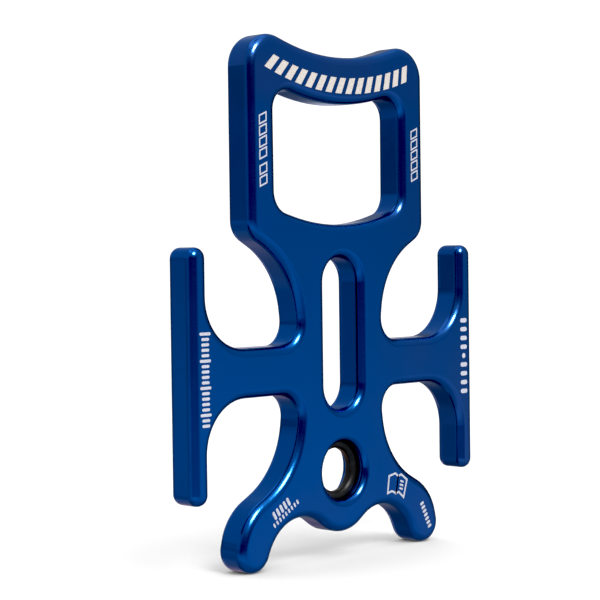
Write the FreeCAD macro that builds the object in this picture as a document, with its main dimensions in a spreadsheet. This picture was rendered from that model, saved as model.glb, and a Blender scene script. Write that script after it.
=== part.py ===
import FreeCAD, Part
import math
import os
import Sketcher

# A flat canyoneering descender: one plate with a windowed head, a rope slot, two upright wings on arms,
# a carabiner eye and two curved feet, and a rubber ring that sits in a groove in the eye.
# Frame: the origin is the centre of the eye, X runs across the plate, Y through its thickness and Z up
# its length towards the head. The front face looks along -Y. The plate is the same left and right.

DIMS = {
    # the plate
    "plate_thickness": 9.525,
    "edge_round": 2.3,
    # head
    "saddle_low_z": 111.7,
    "saddle_radius": 67.0,
    "head_corner_x": 25.3,
    "head_corner_z": 107.4,
    "head_corner_radius": 8.6,
    "shoulder_x": 27.7,
    "shoulder_z": 67.6,
    "shoulder_radius": 6.2,
    # the hollow sides of the waist, above and below the arms
    "waist_side_x": 39.4,
    "waist_side_radius": 22.9,
    "upper_waist_z": 40.8,
    "lower_waist_z": 16.0,
    # arms and wings
    "arm_centre_z": 28.3,
    "arm_height": 12.9,
    "arm_root_x": 22.6,
    "arm_root_radius": 6.2,
    "wing_reach": 54.7,
    "wing_width": 5.7,
    "wing_length": 65.0,
    "wing_blend_radius": 13.6,
    # feet and the lobe between them
    "foot_bend_x": 24.0,
    "foot_bend_z": -18.5,
    "foot_bend_radius": 14.8,
    "foot_tip_x": 33.3,
    "foot_tip_z": -17.9,
    "foot_tip_radius": 5.6,
    "foot_arch_x": 15.7,
    "foot_arch_z": -23.9,
    "foot_arch_radius": 12.9,
    "lobe_z": -5.0,
    "lobe_radius": 11.6,
    # window in the head
    "window_top_z": 99.0,
    "window_top_radius": 65.0,
    "window_upper_x": 19.1,
    "window_upper_z": 96.2,
    "window_upper_radius": 5.4,
    "window_lower_x": 18.4,
    "window_lower_z": 75.4,
    "window_lower_radius": 6.0,
    "window_bottom_z": 66.6,
    "window_bottom_radius": 67.0,
    # rope slot
    "slot_width": 13.6,
    "slot_top_z": 57.8,
    "slot_bottom_z": 16.6,
    # carabiner eye and the groove in its wall
    "eye_diameter": 16.0,
    "eye_edge_round": 1.85,
    "groove_width": 3.8,
    "groove_diameter": 18.8,
    # rubber ring
    "ring_inner_diameter": 11.8,
    "ring_section_diameter": 3.5,
    "ring_inner_land": 1.2,
}

OUT = 1
IN = -1

# Each profile is the right half of a closed outline that mirrors across the Z axis. It is a chain of arcs
# joined by straight lines that touch both. A row is an arc's name, the X and Z of its centre and its
# radius, each as the dimensions that add up to it, and OUT where the outline bulges or IN where it is
# hollow. The first and last arcs are centred on the Z axis and end on it.
PLATE_OUTLINE = (
    ("saddle", {}, {"saddle_low_z": 1, "saddle_radius": 1}, {"saddle_radius": 1}, IN),
    ("head_corner", {"head_corner_x": 1}, {"head_corner_z": 1}, {"head_corner_radius": 1}, OUT),
    ("shoulder", {"shoulder_x": 1}, {"shoulder_z": 1}, {"shoulder_radius": 1}, OUT),
    ("upper_waist", {"waist_side_x": 1}, {"upper_waist_z": 1}, {"waist_side_radius": 1}, IN),
    ("upper_arm_root", {"arm_root_x": 1}, {"arm_centre_z": 1, "arm_height": 0.5, "arm_root_radius": 1},
     {"arm_root_radius": 1}, IN),
    ("upper_wing_blend", {"wing_reach": 1, "wing_width": -1, "wing_blend_radius": -1},
     {"arm_centre_z": 1, "arm_height": 0.5, "wing_blend_radius": 1}, {"wing_blend_radius": 1}, IN),
    ("wing_top", {"wing_reach": 1, "wing_width": -0.5},
     {"arm_centre_z": 1, "wing_length": 0.5, "wing_width": -0.5}, {"wing_width": 0.5}, OUT),
    ("wing_bottom", {"wing_reach": 1, "wing_width": -0.5},
     {"arm_centre_z": 1, "wing_length": -0.5, "wing_width": 0.5}, {"wing_width": 0.5}, OUT),
    ("lower_wing_blend", {"wing_reach": 1, "wing_width": -1, "wing_blend_radius": -1},
     {"arm_centre_z": 1, "arm_height": -0.5, "wing_blend_radius": -1}, {"wing_blend_radius": 1}, IN),
    ("lower_arm_root", {"arm_root_x": 1}, {"arm_centre_z": 1, "arm_height": -0.5, "arm_root_radius": -1},
     {"arm_root_radius": 1}, IN),
    ("lower_waist", {"waist_side_x": 1}, {"lower_waist_z": 1}, {"waist_side_radius": 1}, IN),
    ("foot_bend", {"foot_bend_x": 1}, {"foot_bend_z": 1}, {"foot_bend_radius": 1}, OUT),
    ("foot_tip", {"foot_tip_x": 1}, {"foot_tip_z": 1}, {"foot_tip_radius": 1}, OUT),
    ("foot_arch", {"foot_arch_x": 1}, {"foot_arch_z": 1}, {"foot_arch_radius": 1}, IN),
    ("lobe", {}, {"lobe_z": 1}, {"lobe_radius": 1}, OUT),
)
WINDOW_OUTLINE = (
    ("window_top", {}, {"window_top_z": 1, "window_top_radius": 1}, {"window_top_radius": 1}, IN),
    ("window_upper", {"window_upper_x": 1}, {"window_upper_z": 1}, {"window_upper_radius": 1}, OUT),
    ("window_lower", {"window_lower_x": 1}, {"window_lower_z": 1}, {"window_lower_radius": 1}, OUT),
    ("window_bottom", {}, {"window_bottom_z": 1, "window_bottom_radius": 1},
     {"window_bottom_radius": 1}, OUT),
)
SLOT_OUTLINE = (
    ("slot_top", {}, {"slot_top_z": 1, "slot_width": -0.5}, {"slot_width": 0.5}, OUT),
    ("slot_bottom", {}, {"slot_bottom_z": 1, "slot_width": 0.5}, {"slot_width": 0.5}, OUT),
)

# point positions on a sketch's curves, and the sketch's own origin and vertical axis
START, END, CENTRE = 1, 2, 3
ORIGIN, VERTICAL_AXIS = -1, -2


def number(terms):
    """The value of a sum of dimensions."""
    return sum(factor * DIMS[name] for name, factor in terms.items())


def formula(terms):
    """The same sum as an expression on the spreadsheet."""
    return " + ".join(f"{factor} * dims.{name}" for name, factor in terms.items())


def make_sheet(doc):
    sheet = doc.addObject("Spreadsheet::Sheet", "dims")
    for row, (name, size) in enumerate(DIMS.items(), start=1):
        sheet.set(f"A{row}", name)
        sheet.set(f"B{row}", str(size))
        sheet.setAlias(f"B{row}", name)
    doc.recompute()


def origin_plane(body, role):
    for feature in body.Origin.OriginFeatures:
        if feature.Role == role:
            return feature
    raise ValueError(f"{body.Label} has no {role}")


def new_sketch(body, name, role):
    sketch = body.newObject("Sketcher::SketchObject", name)
    sketch.AttachmentSupport = [(origin_plane(body, role), "")]
    sketch.MapMode = "FlatFace"
    return sketch


def joining_normal(first, second):
    """Outward normal of the straight line that touches two arcs, for a path that runs clockwise."""
    (x1, z1, r1, turn1), (x2, z2, r2, turn2) = first, second
    length = math.hypot(x2 - x1, z2 - z1)
    along = -(turn2 * r2 - turn1 * r1) / length
    across = math.sqrt(1 - along ** 2)
    ux, uz = (x2 - x1) / length, (z2 - z1) / length
    return along * ux - across * uz, along * uz + across * ux


def touch_point(arc, normal):
    x, z, r, turn = arc
    return FreeCAD.Vector(x + turn * r * normal[0], z + turn * r * normal[1], 0)


def add_arc(sketch, arc, first, last):
    """Draw one arc from first to last and say which of its ends the path enters and leaves by."""
    x, z, r, turn = arc
    circle = Part.Circle(FreeCAD.Vector(x, z, 0), FreeCAD.Vector(0, 0, 1), r)
    angles = [math.atan2(point.y - z, point.x - x) for point in (first, last)]
    if turn == OUT:
        angles.reverse()
    if angles[1] < angles[0]:
        angles[1] += 2 * math.pi
    index = sketch.addGeometry(Part.ArcOfCircle(circle, angles[0], angles[1]), False)
    return (index, END, START) if turn == OUT else (index, START, END)


def bind(sketch, constraint, name, terms):
    index = sketch.addConstraint(constraint)
    sketch.renameConstraint(index, name)
    sketch.setExpression(f"Constraints.{name}", formula(terms))


def draw_half_outline(sketch, rows):
    """Draw a half outline, hold every arc by its centre and radius, and close it along the Z axis."""
    arcs = [(number(x), number(z), number(r), turn) for _, x, z, r, turn in rows]
    normals = [(0, 1)] + [joining_normal(a, b) for a, b in zip(arcs, arcs[1:])] + [(0, -1)]
    leave = None
    curves = []
    for arc, enter_normal, leave_normal in zip(arcs, normals, normals[1:]):
        enter_point = touch_point(arc, enter_normal)
        if leave is not None:
            line = sketch.addGeometry(Part.LineSegment(leave, enter_point), False)
        leave = touch_point(arc, leave_normal)
        curve = add_arc(sketch, arc, enter_point, leave)
        if curves:
            last_index, last_exit = curves[-1][0], curves[-1][2]
            sketch.addConstraint(Sketcher.Constraint("Tangent", last_index, last_exit, line, START))
            sketch.addConstraint(Sketcher.Constraint("Tangent", line, END, curve[0], curve[1]))
        curves.append(curve)
    for (index, _, _), (name, x, z, r, _) in zip(curves, rows):
        size = Sketcher.Constraint("Radius", index, number(r))
        height = Sketcher.Constraint("DistanceY", ORIGIN, START, index, CENTRE, number(z))
        bind(sketch, size, f"{name}_r", r)
        bind(sketch, height, f"{name}_z", z)
        if x:
            side = Sketcher.Constraint("DistanceX", ORIGIN, START, index, CENTRE, number(x))
            bind(sketch, side, f"{name}_x", x)
        else:
            sketch.addConstraint(Sketcher.Constraint("PointOnObject", index, CENTRE, VERTICAL_AXIS))
    top, bottom = curves[0], curves[-1]
    axis_top = touch_point(arcs[0], normals[0])
    axis_bottom = touch_point(arcs[-1], normals[-1])
    closing = sketch.addGeometry(Part.LineSegment(axis_bottom, axis_top), False)
    sketch.addConstraint(Sketcher.Constraint("Coincident", bottom[0], bottom[2], closing, START))
    sketch.addConstraint(Sketcher.Constraint("Coincident", closing, END, top[0], top[1]))
    sketch.addConstraint(Sketcher.Constraint("PointOnObject", closing, START, VERTICAL_AXIS))
    sketch.addConstraint(Sketcher.Constraint("PointOnObject", closing, END, VERTICAL_AXIS))


def add_pad(body, name, sketch):
    pad = body.newObject("PartDesign::Pad", name)
    pad.Profile = sketch
    pad.SideType = "Symmetric"
    pad.setExpression("Length", "dims.plate_thickness")
    return pad


def add_through_pocket(body, name, sketch):
    pocket = body.newObject("PartDesign::Pocket", name)
    pocket.Profile = sketch
    pocket.SideType = "Symmetric"
    pocket.Type = "ThroughAll"
    return pocket


def rim_edges(feature, belongs):
    """Names of the edges that lie in a face of the plate and pass the test on a point of theirs."""
    half = DIMS["plate_thickness"] / 2
    names = []
    for index, edge in enumerate(feature.Shape.Edges, start=1):
        ends = [edge.valueAt(edge.FirstParameter), edge.valueAt(edge.LastParameter)]
        middle = edge.valueAt((edge.FirstParameter + edge.LastParameter) / 2)
        in_face = all(abs(abs(point.y) - half) < 1e-4 for point in ends + [middle])
        if in_face and belongs(middle):
            names.append(f"Edge{index}")
    return names


def add_fillet(body, name, base, belongs, alias):
    fillet = body.newObject("PartDesign::Fillet", name)
    fillet.Base = (base, rim_edges(base, belongs))
    fillet.setExpression("Radius", f"dims.{alias}")
    body.Document.recompute()
    return fillet


def on_eye_rim(point):
    return math.hypot(point.x, point.z) < DIMS["eye_diameter"] / 2 + 0.01


def draw_eye(sketch):
    radius = DIMS["eye_diameter"] / 2
    circle = Part.Circle(FreeCAD.Vector(0, 0, 0), FreeCAD.Vector(0, 0, 1), radius)
    index = sketch.addGeometry(circle, False)
    sketch.addConstraint(Sketcher.Constraint("Coincident", index, CENTRE, ORIGIN, START))
    bind(sketch, Sketcher.Constraint("Radius", index, radius), "eye_r", {"eye_diameter": 0.5})


def draw_groove(sketch):
    """A rectangle across the eye's wall, from inside the hole out to the bottom of the groove."""
    inner = {"ring_inner_diameter": 0.5}
    outer = {"groove_diameter": 0.5}
    half = {"groove_width": 0.5}
    near, far, side = number(inner), number(outer), number(half)
    corners = [FreeCAD.Vector(x, y, 0) for x, y in ((near, -side), (far, -side), (far, side), (near, side))]
    for start, end in zip(corners, corners[1:] + corners[:1]):
        sketch.addGeometry(Part.LineSegment(start, end), False)
    for line in range(4):
        sketch.addConstraint(Sketcher.Constraint("Coincident", line, END, (line + 1) % 4, START))
    for line in (0, 2):
        sketch.addConstraint(Sketcher.Constraint("Horizontal", line))
    for line in (1, 3):
        sketch.addConstraint(Sketcher.Constraint("Vertical", line))
    bind(sketch, Sketcher.Constraint("DistanceX", ORIGIN, START, 0, START, near), "inner_r", inner)
    bind(sketch, Sketcher.Constraint("DistanceX", ORIGIN, START, 0, END, far), "outer_r", outer)
    bind(sketch, Sketcher.Constraint("DistanceY", ORIGIN, START, 2, START, side), "upper_side", half)
    bind(sketch, Sketcher.Constraint("DistanceY", 0, START, ORIGIN, START, side), "lower_side", half)


def draw_ring_section(sketch):
    """A round section with a narrow flat land where the rubber meets what passes through the ring."""
    radius = DIMS["ring_section_diameter"] / 2
    half_land = DIMS["ring_inner_land"] / 2
    land_x = DIMS["ring_inner_diameter"] / 2
    centre_x = land_x + math.sqrt(radius ** 2 - half_land ** 2)
    angle = math.pi - math.asin(half_land / radius)
    circle = Part.Circle(FreeCAD.Vector(centre_x, 0, 0), FreeCAD.Vector(0, 0, 1), radius)
    arc = sketch.addGeometry(Part.ArcOfCircle(circle, -angle, angle), False)
    low, high = FreeCAD.Vector(land_x, -half_land, 0), FreeCAD.Vector(land_x, half_land, 0)
    land = sketch.addGeometry(Part.LineSegment(high, low), False)
    sketch.addConstraint(Sketcher.Constraint("Coincident", arc, END, land, START))
    sketch.addConstraint(Sketcher.Constraint("Coincident", land, END, arc, START))
    sketch.addConstraint(Sketcher.Constraint("Vertical", land))
    bind(sketch, Sketcher.Constraint("Radius", arc, radius), "section_r", {"ring_section_diameter": 0.5})
    bind(sketch, Sketcher.Constraint("DistanceY", land, END, land, START, 2 * half_land), "land",
         {"ring_inner_land": 1})
    bind(sketch, Sketcher.Constraint("DistanceX", ORIGIN, START, land, START, land_x), "land_x",
         {"ring_inner_diameter": 0.5})
    bind(sketch, Sketcher.Constraint("DistanceY", ORIGIN, START, land, START, half_land), "land_top",
         {"ring_inner_land": 0.5})


def make_plate(doc):
    body = doc.addObject("PartDesign::Body", "descender_plate")
    body.Label = "descender_plate"

    outline = new_sketch(body, "half_outline", "XZ_Plane")
    draw_half_outline(outline, PLATE_OUTLINE)
    blank = add_pad(body, "half_blank", outline)
    window = new_sketch(body, "half_window", "XZ_Plane")
    draw_half_outline(window, WINDOW_OUTLINE)
    window_cut = add_through_pocket(body, "window_cut", window)
    slot = new_sketch(body, "half_slot", "XZ_Plane")
    draw_half_outline(slot, SLOT_OUTLINE)
    slot_cut = add_through_pocket(body, "slot_cut", slot)
    doc.recompute()

    whole = body.newObject("PartDesign::Mirrored", "both_halves")
    whole.Originals = [blank, window_cut, slot_cut]
    whole.MirrorPlane = (origin_plane(body, "YZ_Plane"), [""])
    body.Tip = whole
    doc.recompute()

    eye = new_sketch(body, "eye_circle", "XZ_Plane")
    draw_eye(eye)
    eye_cut = add_through_pocket(body, "eye_cut", eye)
    doc.recompute()

    rounded = add_fillet(body, "edge_rounding", eye_cut, lambda point: not on_eye_rim(point), "edge_round")
    eye_rounded = add_fillet(body, "eye_rounding", rounded, on_eye_rim, "eye_edge_round")

    section = new_sketch(body, "groove_section", "XY_Plane")
    draw_groove(section)
    groove = body.newObject("PartDesign::Groove", "ring_groove")
    groove.Profile = section
    groove.ReferenceAxis = (section, ["V_Axis"])
    groove.Angle = 360
    doc.recompute()
    removed = eye_rounded.Shape.Volume - groove.Shape.Volume
    if removed <= 0:
        raise ValueError("the groove cuts nothing")
    return body


def make_ring(doc):
    body = doc.addObject("PartDesign::Body", "eye_retainer_ring")
    body.Label = "eye_retainer_ring"
    section = new_sketch(body, "ring_section", "XY_Plane")
    draw_ring_section(section)
    ring = body.newObject("PartDesign::Revolution", "ring_sweep")
    ring.Profile = section
    ring.ReferenceAxis = (section, ["V_Axis"])
    ring.Angle = 360
    doc.recompute()
    return body


def check_document(doc, bodies):
    for item in doc.Objects:
        if "Invalid" in item.State or "Error" in item.State:
            raise ValueError(f"{item.Name} failed: {item.State}")
    for body in bodies:
        if body.Shape.isNull() or not body.Shape.isValid():
            raise ValueError(f"{body.Label} has no valid shape")


def main():
    doc = FreeCAD.newDocument("descender")
    make_sheet(doc)
    bodies = [make_plate(doc), make_ring(doc)]
    doc.recompute()
    check_document(doc, bodies)
    os.makedirs("parts", exist_ok=True)
    for body in bodies:
        body.Shape.exportStep(f"parts/{body.Label}.step")
        print(f"{body.Label}: {len(body.Shape.Solids)} solid, {body.Shape.Volume:.0f} mm3")


main()
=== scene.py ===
"""A blue anodised rope descender with a black ring in its eye, on a white floor in soft studio light.

The CAD plate and ring keep their meshes and get their finish here. The pale marks on the front face
are thin pieces built below: plain bars, outlines and a booklet symbol, with no lettering.
Lengths are in millimetres, and MM turns them into Blender's metres. Angles are in degrees.
"""

import math
from collections import namedtuple

import bmesh
import bpy
from mathutils import Matrix, Vector


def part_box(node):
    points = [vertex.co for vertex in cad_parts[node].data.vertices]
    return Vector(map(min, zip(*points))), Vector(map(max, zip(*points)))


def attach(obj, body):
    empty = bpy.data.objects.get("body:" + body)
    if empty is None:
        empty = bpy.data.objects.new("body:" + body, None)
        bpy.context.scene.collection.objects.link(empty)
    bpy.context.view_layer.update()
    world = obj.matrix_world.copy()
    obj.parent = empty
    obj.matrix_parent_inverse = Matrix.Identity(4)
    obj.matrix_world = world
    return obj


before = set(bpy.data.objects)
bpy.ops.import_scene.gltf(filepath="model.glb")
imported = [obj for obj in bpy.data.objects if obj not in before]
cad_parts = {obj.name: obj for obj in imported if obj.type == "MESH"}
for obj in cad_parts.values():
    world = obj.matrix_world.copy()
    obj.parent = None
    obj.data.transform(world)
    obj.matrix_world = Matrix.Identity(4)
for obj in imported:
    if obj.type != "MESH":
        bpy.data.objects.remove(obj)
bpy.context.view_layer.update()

MM = 0.001

PLATE_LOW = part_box("descender_plate")[0]
FRONT_Y = PLATE_LOW.y / MM
FLOOR_Z = PLATE_LOW.z / MM


# ---------------------------------------------------------------- shader nodes

# A Mix node's sockets share their names, so the ones for colours are picked by index.
MIX_FIRST = 6
MIX_SECOND = 7
MIX_RESULT = 2


class NodeTools:
    """Clears the node tree of a material or world, and makes and joins its new nodes."""

    def __init__(self, owner):
        owner.use_nodes = True
        self.tree = owner.node_tree
        self.tree.nodes.clear()

    def add(self, kind, **settings):
        """A new node with these settings."""
        node = self.tree.nodes.new("ShaderNode" + kind)
        for key, value in settings.items():
            setattr(node, key, value)
        return node

    def feed(self, socket, value):
        """Joins an output to a socket, or sets the socket to a number, vector or colour."""
        if isinstance(value, bpy.types.NodeSocket):
            self.tree.links.new(value, socket)
        elif socket.type == "RGBA":
            socket.default_value = (*value, 1.0)
        else:
            socket.default_value = value

    def operate(self, kind, operation, values):
        """The outputs of a Math or VectorMath node on these values."""
        node = self.add(kind, operation=operation)
        for socket, value in zip(node.inputs, values):
            self.feed(socket, value)
        return node.outputs

    def maths(self, operation, *values):
        """The result of a Math node; each value is a number or an output."""
        return self.operate("Math", operation, values)["Value"]

    def split(self, vector):
        """The X, Y and Z of a vector, by name."""
        node = self.add("SeparateXYZ")
        self.feed(node.inputs[0], vector)
        return node.outputs

    def noise(self, place, cells, detail=2.0):
        """Noise over the object's own coordinates, with that many cells a metre."""
        node = self.add("TexNoise")
        self.feed(node.inputs["Vector"], place)
        self.feed(node.inputs["Scale"], cells)
        self.feed(node.inputs["Detail"], detail)
        return node.outputs["Fac"]

    def remap(self, value, source, target, smooth=True):
        """Maps a value from one range to another, clamped."""
        node = self.add("MapRange", interpolation_type="SMOOTHSTEP" if smooth else "LINEAR")
        self.feed(node.inputs["Value"], value)
        self.feed(node.inputs["From Min"], source[0])
        self.feed(node.inputs["From Max"], source[1])
        self.feed(node.inputs["To Min"], target[0])
        self.feed(node.inputs["To Max"], target[1])
        return node.outputs["Result"]

    def mix_colour(self, factor, first, second):
        """Blends two colours; each is a colour or an output."""
        node = self.add("Mix", data_type="RGBA")
        self.feed(node.inputs["Factor"], factor)
        self.feed(node.inputs[MIX_FIRST], first)
        self.feed(node.inputs[MIX_SECOND], second)
        return node.outputs[MIX_RESULT]

    def bump(self, height, depth, after=None):
        """A bump of that depth, on top of another bump if one is given."""
        node = self.add("Bump")
        self.feed(node.inputs["Height"], height)
        self.feed(node.inputs["Distance"], depth * MM)
        if after is not None:
            self.feed(node.inputs["Normal"], after)
        return node.outputs["Normal"]

    def principled(self, values):
        """Ends a material with a Principled shader that has these values in its sockets."""
        shader = self.add("BsdfPrincipled")
        for name, value in values.items():
            self.feed(shader.inputs[name], value)
        output = self.add("OutputMaterial")
        self.feed(output.inputs["Surface"], shader.outputs["BSDF"])


# ---------------------------------------------------------------- materials

ANODISED_BLUE = (0.0003, 0.042, 0.190)
ANODISED_VIOLET = (0.0080, 0.039, 0.160)
ANODISED_WORN = (0.0015, 0.065, 0.26)
FACET_TINT = (0.50, 0.62, 0.85)
DUST = (0.45, 0.50, 0.60)
RUBBER_DARK = (0.0150, 0.0128, 0.0105)
RUBBER_BLOOM = (0.026, 0.025, 0.023)
RUBBER_SHEEN = (0.34, 0.68, 1.00)
MARK_CREAM = (0.54, 0.52, 0.49)
MARK_WHITE = (0.46, 0.49, 0.57)
FLOOR_WHITE = (0.90, 0.90, 0.90)

# Names that end in CELLS say how fine a noise is, in cells a metre. Most noise lies in this range.
MOST_NOISE = (0.3, 0.7)

# The colour is more violet from the middle to the right side and toward the top, and the dye is uneven
# all over.
VIOLET_ACROSS = (0.0, 60.0)
VIOLET_SIDE_MOST = 0.8
VIOLET_UP = (92.0, 104.0)
VIOLET_TOP_MOST = 0.7
DYE_CELLS = 32.0
DYE_NOISE = (0.35, 0.65)
DYE_UNEVEN = 0.25

# The roundings lie where the surface faces front or back less than FACE_ENDS, as 1 is a face, and more
# than WALL_ENDS, as 0 is a wall. They are worn in patches.
FACE_ENDS = (0.75, 0.98)
WALL_ENDS = (0.05, 0.35)
PATCH_CELLS = 160.0
PATCH_NOISE = (0.45, 0.70)
PATCH_WEAR = (0.05, 0.35)

# One dust cell in ten has a speck, which hides half of the dye. Its radius is a share of the cell.
DUST_CELLS = 260.0
SPECK_RADIUS = (0.020, 0.045)
SPECK_CHOICE = (0.90, 0.91)
SPECK_COVER = 0.5

# Tumbling leaves a fine, even grain.
BLOTCH_CELLS = 90.0
SATIN_ROUGHNESS = (0.20, 0.24)
WEAR_SMOOTHING = 0.08
GRAIN_CELLS = 2600.0
GRAIN_ROUGHNESS = 0.03
GRAIN_DEPTH = 0.002
RIPPLE_CELLS = 420.0
RIPPLE_DEPTH = 0.002

BLOOM_CELLS = 500.0
BLOOM_NOISE = (0.45, 0.75)
BLOOM_COVER = (0.0, 0.7)
RUBBER_CELLS = 5200.0
RUBBER_ROUGHNESS = (0.32, 0.42)
RUBBER_DEPTH = 0.006

MOTTLE_CELLS = 1800.0
MOTTLE_NOISE = (0.35, 0.75)
MOTTLE_COVER = (0.0, 0.35)
MOTTLE_SHADE = 0.72
OXIDE_CELLS = 6000.0
OXIDE_ROUGHNESS = (0.5, 0.7)
OXIDE_DEPTH = 0.004

PAPER_CELLS = 900.0
PAPER_DEPTH = 0.01


def metres(span):
    """A range of lengths in metres, as the object's own coordinates are."""
    return tuple(end * MM for end in span)


def anodised_plate():
    """Tumbled and blue-anodised aluminium: a tinted satin metal under a thin clear layer."""
    material = bpy.data.materials.new("anodised_plate")
    nodes = NodeTools(material)
    coordinates = nodes.add("TexCoord").outputs
    place = coordinates["Object"]

    along = nodes.split(place)
    violet_side = nodes.remap(along["X"], metres(VIOLET_ACROSS), (0.0, VIOLET_SIDE_MOST))
    violet_top = nodes.remap(along["Z"], metres(VIOLET_UP), (0.0, VIOLET_TOP_MOST))
    uneven = nodes.remap(nodes.noise(place, DYE_CELLS), DYE_NOISE, (-DYE_UNEVEN, DYE_UNEVEN))
    violet = nodes.maths("ADD", nodes.maths("MAXIMUM", violet_side, violet_top), uneven)
    violet = nodes.remap(violet, (0.0, 1.0), (0.0, 1.0), smooth=False)
    colour = nodes.mix_colour(violet, ANODISED_BLUE, ANODISED_VIOLET)

    # The rounded edges are handled most, so they are a little paler and smoother.
    facing = nodes.maths("ABSOLUTE", nodes.split(coordinates["Normal"])["Y"])
    off_face = nodes.remap(facing, FACE_ENDS, (1.0, 0.0))
    off_wall = nodes.remap(facing, WALL_ENDS, (0.0, 1.0))
    patches = nodes.remap(nodes.noise(place, PATCH_CELLS, detail=4.0), PATCH_NOISE, PATCH_WEAR)
    wear = nodes.maths("MULTIPLY", nodes.maths("MULTIPLY", off_face, off_wall), patches)
    colour = nodes.mix_colour(wear, colour, ANODISED_WORN)

    cells = nodes.add("TexVoronoi")
    nodes.feed(cells.inputs["Vector"], place)
    nodes.feed(cells.inputs["Scale"], DUST_CELLS)
    near = nodes.remap(cells.outputs["Distance"], SPECK_RADIUS, (1.0, 0.0))
    chance = nodes.split(cells.outputs["Color"])["X"]
    chosen = nodes.remap(chance, SPECK_CHOICE, (0.0, SPECK_COVER))
    colour = nodes.mix_colour(nodes.maths("MULTIPLY", near, chosen), colour, DUST)

    grain = nodes.noise(place, GRAIN_CELLS, detail=3.0)
    satin = nodes.remap(nodes.noise(place, BLOTCH_CELLS, detail=3.0), MOST_NOISE, SATIN_ROUGHNESS)
    rough_grain = nodes.remap(grain, MOST_NOISE, (-GRAIN_ROUGHNESS, GRAIN_ROUGHNESS))
    satin = nodes.maths("ADD", satin, rough_grain)
    satin = nodes.maths("SUBTRACT", satin, nodes.maths("MULTIPLY", wear, WEAR_SMOOTHING))
    surface = nodes.bump(grain, GRAIN_DEPTH)
    surface = nodes.bump(nodes.noise(place, RIPPLE_CELLS), RIPPLE_DEPTH, after=surface)
    nodes.principled({
        "Base Color": colour,
        "Metallic": 1.0,
        "Roughness": satin,
        "Normal": surface,
        "Specular Tint": FACET_TINT,
        "Coat Weight": 0.14,
        "Coat Roughness": 0.15,
        "Coat IOR": 1.5,
    })
    return material


def ring_rubber():
    """Black moulded rubber with a fine matt texture and a faint grey bloom."""
    material = bpy.data.materials.new("ring_rubber")
    nodes = NodeTools(material)
    place = nodes.add("TexCoord").outputs["Object"]
    bloom = nodes.remap(nodes.noise(place, BLOOM_CELLS, detail=4.0), BLOOM_NOISE, BLOOM_COVER)
    texture = nodes.noise(place, RUBBER_CELLS, detail=3.0)
    nodes.principled({
        "Base Color": nodes.mix_colour(bloom, RUBBER_DARK, RUBBER_BLOOM),
        "Roughness": nodes.remap(texture, MOST_NOISE, RUBBER_ROUGHNESS),
        "Normal": nodes.bump(texture, RUBBER_DEPTH),
        "Specular IOR Level": 0.12,
        "Specular Tint": RUBBER_SHEEN,
    })
    return material


def laser_marking(name, colour):
    """Matt pale oxide where a laser has bleached the dye, slightly mottled."""
    material = bpy.data.materials.new(name)
    nodes = NodeTools(material)
    place = nodes.add("TexCoord").outputs["Object"]
    mottle = nodes.remap(nodes.noise(place, MOTTLE_CELLS, detail=4.0), MOTTLE_NOISE, MOTTLE_COVER)
    darker = tuple(MOTTLE_SHADE * part for part in colour)
    texture = nodes.noise(place, OXIDE_CELLS)
    nodes.principled({
        "Base Color": nodes.mix_colour(mottle, colour, darker),
        "Roughness": nodes.remap(texture, MOST_NOISE, OXIDE_ROUGHNESS),
        "Normal": nodes.bump(texture, OXIDE_DEPTH),
    })
    return material


def floor_paper():
    """Matt white paper."""
    material = bpy.data.materials.new("floor_paper")
    nodes = NodeTools(material)
    place = nodes.add("TexCoord").outputs["Object"]
    nodes.principled({
        "Base Color": FLOOR_WHITE,
        "Roughness": 0.9,
        "Normal": nodes.bump(nodes.noise(place, PAPER_CELLS), PAPER_DEPTH),
        "Specular IOR Level": 0.0,
    })
    return material


# ---------------------------------------------------------------- shapes on the front face

CIRCLE_STEPS = 24

# Stops the point of a very sharp corner from running far out.
SHARPEST_MITRE = 0.3


def circle(centre, radius):
    """The points of a circle."""
    turns = [2 * math.pi * i / CIRCLE_STEPS for i in range(CIRCLE_STEPS)]
    return [(centre[0] + radius * math.cos(a), centre[1] + radius * math.sin(a)) for a in turns]


def rounded_bar(centre, length, width, angle=0.0):
    """The points of a bar with half-round ends, its length along the angle."""
    turn = math.radians(angle)
    reach = (length - width) / 2
    points = []
    for side in (1, -1):
        for i in range(CIRCLE_STEPS // 2 + 1):
            a = math.pi * i / (CIRCLE_STEPS // 2) - math.pi / 2
            along = side * (reach + width / 2 * math.cos(a))
            across = side * width / 2 * math.sin(a)
            points.append((
                centre[0] + along * math.cos(turn) - across * math.sin(turn),
                centre[1] + along * math.sin(turn) + across * math.cos(turn),
            ))
    return points


def outline(points, width):
    """A closed line of that width round the points, as one four-sided face for each side."""
    count = len(points)
    inner, outer = [], []
    for i in range(count):
        before, here, after = (Vector(points[(i + k) % count]) for k in (-1, 0, 1))
        normals = []
        for start, end in ((before, here), (here, after)):
            step = (end - start).normalized()
            normals.append(Vector((step.y, -step.x)))
        mitre = (normals[0] + normals[1]).normalized()
        reach = width / 2 / max(mitre.dot(normals[0]), SHARPEST_MITRE)
        inner.append(tuple(here - mitre * reach))
        outer.append(tuple(here + mitre * reach))
    return [
        [inner[i], inner[(i + 1) % count], outer[(i + 1) % count], outer[i]]
        for i in range(count)
    ]


# ---------------------------------------------------------------- the marks

MARK_PROUD = 0.02
MARK_SUNK = 0.01
MERGE_DISTANCE = 0.001

# The row of slanted bars follows the saddle: same centre, a little further out.
SADDLE_CENTRE_Z = 178.7
BAND_TOP_RADIUS = 72.7
BAND_FOOT_RADIUS = 76.9
BAND_HALF_SPAN = 21.6
BAND_BARS = 15
BAND_FILL = 0.60
BAND_SLANT = 1.5

# A column of equal places between two heights, and a row of bars from one point to another.
Column = namedtuple("Column", "x low high count")
Row = namedtuple("Row", "start end count length width")

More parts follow.
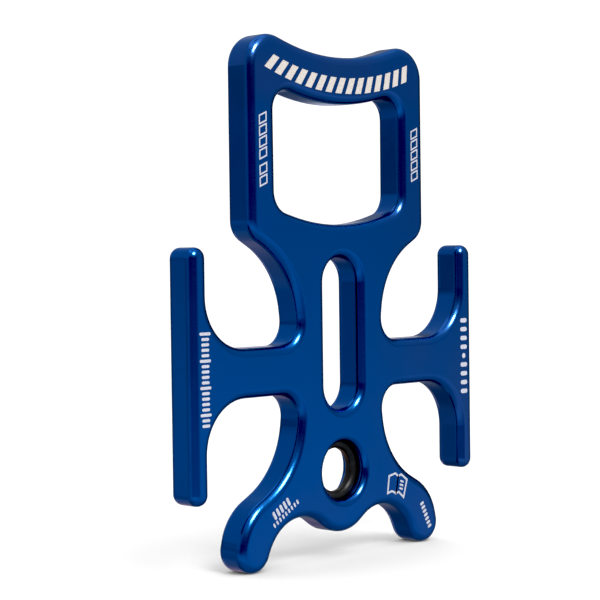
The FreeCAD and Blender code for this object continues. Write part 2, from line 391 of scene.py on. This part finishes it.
LEFT_BOXES = (Column(-29.4, 76.4, 82.4, 2), Column(-29.4, 83.4, 95.4, 4))
RIGHT_BOXES = (Column(29.6, 78.9, 93.6, 5),)
BOX_HALF_FILL = 0.36
BOX_HALF_WIDTH = 1.2
BOX_SLANT = 0.5
BOX_LINE = 0.38

LEFT_WING_TICKS = Column(-50.4, 15.4, 39.8, 18)
TICK_LENGTH = 2.6
LONG_TICK_LENGTH = 3.7
TICK_WIDTH = 0.75
LONG_TICK_EVERY = 5
FIRST_LONG_TICK = 2

RIGHT_WING_BARS = Column(50.6, 17.1, 40.2, 9)
RANGE_BAR_LENGTH = 2.9
RANGE_BAR_WIDTH = 1.25
RANGE_DOT_RADIUS = 0.75

LEFT_FOOT_ROWS = (
    Row((-27.6, -9.5), (-21.3, -5.6), 5, 2.4, 0.85),
    Row((-27.6, -12.0), (-18.0, -6.1), 9, 1.3, 0.6),
)
RIGHT_FOOT_ROWS = (Row((31.1, -11.8), (34.8, -19.6), 7, 1.6, 0.8),)

LEFT_PAGE = ((16.9, -7.9), (17.6, -3.2), (20.2, -2.7), (21.4, -3.6), (20.4, -8.3), (18.7, -7.5))
RIGHT_PAGE = ((20.4, -8.3), (21.4, -3.6), (22.6, -3.2), (25.0, -4.9), (23.5, -9.7), (21.5, -8.0))
PAGE_LINE = 0.55
PRINT_MIDDLES = ((22.9, -5.2), (22.7, -6.2), (22.5, -7.2))
PRINT_LENGTH = 1.5
PRINT_ANGLE = -20.0


def marking(name, faces, material):
    """One thin laser-marked piece made of flat faces, each a list of (x, z) points on the front face."""
    mesh = bpy.data.meshes.new(name)
    build = bmesh.new()
    for points in faces:
        corners = [build.verts.new((x * MM, (FRONT_Y + MARK_SUNK) * MM, z * MM)) for x, z in points]
        build.faces.new(corners)
    bmesh.ops.remove_doubles(build, verts=build.verts[:], dist=MERGE_DISTANCE * MM)
    raised = bmesh.ops.extrude_face_region(build, geom=build.faces[:])
    top = [part for part in raised["geom"] if isinstance(part, bmesh.types.BMVert)]
    bmesh.ops.translate(build, verts=top, vec=(0.0, -(MARK_SUNK + MARK_PROUD) * MM, 0.0))
    bmesh.ops.recalc_face_normals(build, faces=build.faces[:])
    build.to_mesh(mesh)
    build.free()
    mesh.materials.append(material)
    piece = bpy.data.objects.new(name, mesh)
    bpy.context.scene.collection.objects.link(piece)
    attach(piece, "plate")


def middles(column):
    """The middles of a column's places, as (x, z) points."""
    pitch = (column.high - column.low) / column.count
    return [(column.x, column.low + (i + 0.5) * pitch) for i in range(column.count)]


def saddle_band():
    """Slanted bars like the lay of a rope, in a band under the saddle."""
    pitch = 2 * BAND_HALF_SPAN / BAND_BARS
    faces = []
    for i in range(BAND_BARS):
        middle = -BAND_HALF_SPAN + (i + 0.5) * pitch
        half = BAND_FILL * pitch / 2
        corners = []
        for radius, angle in (
            (BAND_TOP_RADIUS, middle - half + BAND_SLANT / 2),
            (BAND_TOP_RADIUS, middle + half + BAND_SLANT / 2),
            (BAND_FOOT_RADIUS, middle + half - BAND_SLANT / 2),
            (BAND_FOOT_RADIUS, middle - half - BAND_SLANT / 2),
        ):
            turn = math.radians(angle)
            corners.append((radius * math.sin(turn), SADDLE_CENTRE_Z - radius * math.cos(turn)))
        faces.append(corners)
    return faces


def outlined_bars(columns):
    """Slanted bars in outline, the band's bars in small."""
    faces = []
    for column in columns:
        half_height = BOX_HALF_FILL * (column.high - column.low) / column.count
        for x, z in middles(column):
            faces += outline([
                (x - BOX_HALF_WIDTH, z - half_height - BOX_SLANT),
                (x - BOX_HALF_WIDTH, z + half_height - BOX_SLANT),
                (x + BOX_HALF_WIDTH, z + half_height + BOX_SLANT),
                (x + BOX_HALF_WIDTH, z - half_height + BOX_SLANT),
            ], BOX_LINE)
    return faces


def tick_column(column):
    """A ruler-like column of bars, every fifth one wider."""
    faces = []
    for i, centre in enumerate(middles(column)):
        is_long = i % LONG_TICK_EVERY == FIRST_LONG_TICK
        faces.append(rounded_bar(centre, LONG_TICK_LENGTH if is_long else TICK_LENGTH, TICK_WIDTH))
    return faces


def range_column(column):
    """Bars either side of a dot: a plain range mark."""
    faces = [rounded_bar(centre, RANGE_BAR_LENGTH, RANGE_BAR_WIDTH) for centre in middles(column)]
    middle = column.count // 2
    faces[middle] = circle(middles(column)[middle], RANGE_DOT_RADIUS)
    return faces


def bar_rows(rows):
    """Short bars standing across each row's line."""
    faces = []
    for row in rows:
        angle = math.degrees(math.atan2(row.end[1] - row.start[1], row.end[0] - row.start[0]))
        for i in range(row.count):
            part = (i + 0.5) / row.count
            centre = tuple(a + part * (b - a) for a, b in zip(row.start, row.end))
            faces.append(rounded_bar(centre, row.length, row.width, angle + 90.0))
    return faces


def booklet():
    """A plain open booklet: two pages in outline and three short lines of print."""
    faces = outline(LEFT_PAGE, PAGE_LINE) + outline(RIGHT_PAGE, PAGE_LINE)
    for centre in PRINT_MIDDLES:
        faces.append(rounded_bar(centre, PRINT_LENGTH, PAGE_LINE, PRINT_ANGLE))
    return faces


# ---------------------------------------------------------------- light, floor and camera

FLOOR_RADIUS = 450.0
FLOOR_SIDES = 96

# The lamps above the front: soft daylight for matt surfaces, and one for the highlights on the roundings.
# That one is warm, because the blue metal takes most of the red out of what it reflects.
DAYLIGHT_FROM = (-100.0, 48.0)
DAYLIGHT_ANGLE = 30.0
DAYLIGHT_STRENGTH = 1.0
DAYLIGHT_COLOUR = (1.0, 1.0, 1.0)
SPOT_FROM = (-102.0, 46.0)
SPOT_ANGLE = 20.0
SPOT_STRENGTH = 19.0
SPOT_COLOUR = (1.0, 0.50, 0.34)

# The studio round the object: its base brightness, and soft cards that add to it or take from it.
# A card is full within its half width of the level direction at its azimuth, and between its low and
# high elevations. It fades out over side_fade and edge_fade, and adds that much red, green and blue.
Card = namedtuple("Card", "azimuth half_width low high side_fade edge_fade adds")
STUDIO_BASE = (1.08, 1.08, 1.08)
STUDIO_CARDS = (
    Card(-46.0, 3.0, -30.0, -12.0, 24.0, 24.0, (0.36, 0.36, 0.36)),
    Card(-28.0, 3.0, -8.0, 14.0, 14.0, 12.0, (-0.20, -0.14, -0.20)),
    Card(-120.0, 36.0, 4.0, 10.0, 32.0, 32.0, (-0.90, -0.99, -0.80)),
    Card(21.0, 18.0, 18.0, 22.0, 34.0, 30.0, (-0.88, -0.88, -0.88)),
    Card(46.0, 6.0, -16.0, 20.0, 9.0, 10.0, (1.15, 1.05, 1.05)),
    Card(98.0, 29.0, -40.0, -9.0, 27.0, 12.0, (0.20, 0.20, 0.20)),
    Card(88.0, 26.0, -44.0, -33.0, 24.0, 7.0, (5.20, 1.60, 0.90)),
    Card(127.0, 3.0, -14.0, -3.0, 9.0, 8.0, (0.60, 0.60, 0.60)),
    Card(139.0, 3.0, -10.0, 12.0, 7.0, 8.0, (-0.14, -0.14, -0.14)),
    Card(-86.0, 6.0, 30.0, 60.0, 34.0, 28.0, (0.80, 0.80, 0.80)),
    Card(-105.0, 28.0, 54.0, 68.0, 42.0, 20.0, (1.00, 1.00, 1.00)),
    Card(165.0, 0.0, 66.0, 76.0, 180.0, 13.0, (2.00, 2.00, 2.00)),
    Card(-15.0, 0.0, 66.0, 76.0, 180.0, 13.0, (1.00, 1.00, 1.00)),
    Card(-125.0, 0.0, -36.0, -8.0, 180.0, 7.0, (0.42, 0.42, 0.42)),
    Card(68.0, 0.0, -80.0, 5.0, 180.0, 6.0, (-0.74, -0.74, -0.74)),
)
BACKDROP = (1.15, 1.15, 1.15)
BLACK_POINT = 0.011

# The camera: about as far in front of the object as to its left, and a little above its middle.
CAMERA_PLACE = (-339.0, -325.2, 58.5)
CAMERA_TURN = 45.17
CAMERA_TILT = -1.49
CAMERA_ROLL = -0.74
CAMERA_LENS = 103.7
CAMERA_NEAREST = 10.0
SENSOR_WIDTH = 36.0


def sine(angle):
    """The sine of an angle in degrees."""
    return math.sin(math.radians(angle))


def cosine(angle):
    """The cosine of an angle in degrees."""
    return math.cos(math.radians(angle))


def direction(azimuth, elevation):
    """The unit vector toward that azimuth (from +X to +Y) and elevation."""
    level = cosine(elevation)
    return Vector((cosine(azimuth) * level, sine(azimuth) * level, sine(elevation)))


def add_floor():
    """A round white floor under the feet; the metal reflects the studio's cards in place of it."""
    bpy.ops.mesh.primitive_circle_add(
        vertices=FLOOR_SIDES,
        radius=FLOOR_RADIUS * MM,
        fill_type="NGON",
        location=(0.0, 0.0, FLOOR_Z * MM),
    )
    floor = bpy.context.object
    floor.name = "floor"
    floor.data.materials.append(floor_paper())
    floor.visible_glossy = False


def add_lamp(name, toward, angle, strength, colour, lights_matt):
    """A soft lamp far away, seen either by matt surfaces or in reflections."""
    lamp = bpy.data.lights.new(name, "SUN")
    lamp.energy = strength
    lamp.color = colour
    lamp.angle = math.radians(angle)
    light = bpy.data.objects.new(name, lamp)
    light.rotation_mode = "QUATERNION"
    light.rotation_quaternion = direction(*toward).to_track_quat("Z", "Y")
    light.visible_diffuse = lights_matt
    light.visible_glossy = not lights_matt
    bpy.context.scene.collection.objects.link(light)


def card_cover(nodes, toward, height, card):
    """1 in the directions that a card fills, fading to 0 round it."""
    level = nodes.operate("VectorMath", "DOT_PRODUCT", (toward, direction(card.azimuth, 0.0)))["Value"]
    edges = (
        (level, cosine(card.half_width + card.side_fade), cosine(card.half_width)),
        (height, sine(card.low - card.edge_fade), sine(card.low)),
        (height, sine(card.high + card.edge_fade), sine(card.high)),
    )
    side, bottom, top = (nodes.remap(value, (out, full), (0.0, 1.0)) for value, out, full in edges)
    return nodes.maths("MULTIPLY", nodes.maths("MULTIPLY", side, bottom), top)


def add_studio():
    """A pale studio: soft cards for the metal to reflect, and plain white behind."""
    world = bpy.data.worlds.new("studio")
    nodes = NodeTools(world)
    toward = nodes.add("TexCoord").outputs["Generated"]
    height = nodes.split(toward)["Z"]
    light = STUDIO_BASE
    for card in STUDIO_CARDS:
        cover = card_cover(nodes, toward, height, card)
        light = nodes.operate("VectorMath", "MULTIPLY_ADD", (cover, card.adds, light))["Vector"]
    rays = nodes.add("LightPath").outputs
    plain = nodes.maths("MAXIMUM", rays["Is Camera Ray"], rays["Is Diffuse Ray"])
    mixed = nodes.add("MixShader")
    nodes.feed(mixed.inputs[0], plain)
    for socket, colour in zip(mixed.inputs[1:], (light, BACKDROP)):
        background = nodes.add("Background")
        nodes.feed(background.inputs["Color"], colour)
        nodes.feed(socket, background.outputs["Background"])
    output = nodes.add("OutputWorld")
    nodes.feed(output.inputs["Surface"], mixed.outputs["Shader"])
    bpy.context.scene.world = world


def add_camera():
    """A long lens on the front from the left, turned, tilted and rolled to frame the whole object."""
    camera = bpy.data.cameras.new("camera")
    camera.lens = CAMERA_LENS
    camera.sensor_width = SENSOR_WIDTH
    camera.clip_start = CAMERA_NEAREST * MM
    holder = bpy.data.objects.new("camera", camera)
    holder.matrix_world = (
        Matrix.Translation(Vector(CAMERA_PLACE) * MM)
        @ Matrix.Rotation(-math.radians(CAMERA_TURN), 4, "Z")
        @ Matrix.Rotation(math.radians(90.0 + CAMERA_TILT), 4, "X")
        @ Matrix.Rotation(math.radians(CAMERA_ROLL), 4, "Z")
    )
    bpy.context.scene.collection.objects.link(holder)
    bpy.context.scene.camera = holder


def grade_picture():
    """A plain view with the deep blacks of a product picture, and no light thrown off the metal."""
    scene = bpy.context.scene
    scene.cycles.caustics_reflective = False
    view = scene.view_settings
    view.view_transform = "Standard"
    view.use_curve_mapping = True
    view.curve_mapping.black_level = (BLACK_POINT, BLACK_POINT, BLACK_POINT)
    view.curve_mapping.update()


# ---------------------------------------------------------------- the scene


def repaint(node, material):
    """Gives a CAD node its finish."""
    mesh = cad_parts[node].data
    mesh.materials.clear()
    mesh.materials.append(material)


repaint("descender_plate", anodised_plate())
repaint("eye_retainer_ring", ring_rubber())

cream = laser_marking("laser_marking_cream", MARK_CREAM)
white = laser_marking("laser_marking_white", MARK_WHITE)
marking("saddle_band_mark", saddle_band(), cream)
marking("left_column_mark", outlined_bars(LEFT_BOXES), white)
marking("right_column_mark", outlined_bars(RIGHT_BOXES), white)
marking("left_wing_mark", tick_column(LEFT_WING_TICKS), white)
marking("right_wing_mark", range_column(RIGHT_WING_BARS), white)
marking("left_foot_mark", bar_rows(LEFT_FOOT_ROWS), white)
marking("right_foot_mark", bar_rows(RIGHT_FOOT_ROWS), white)
marking("booklet_mark", booklet(), white)

add_floor()
add_lamp("daylight", DAYLIGHT_FROM, DAYLIGHT_ANGLE, DAYLIGHT_STRENGTH, DAYLIGHT_COLOUR, lights_matt=True)
add_lamp("spot", SPOT_FROM, SPOT_ANGLE, SPOT_STRENGTH, SPOT_COLOUR, lights_matt=False)
add_studio()
add_camera()
grade_picture()
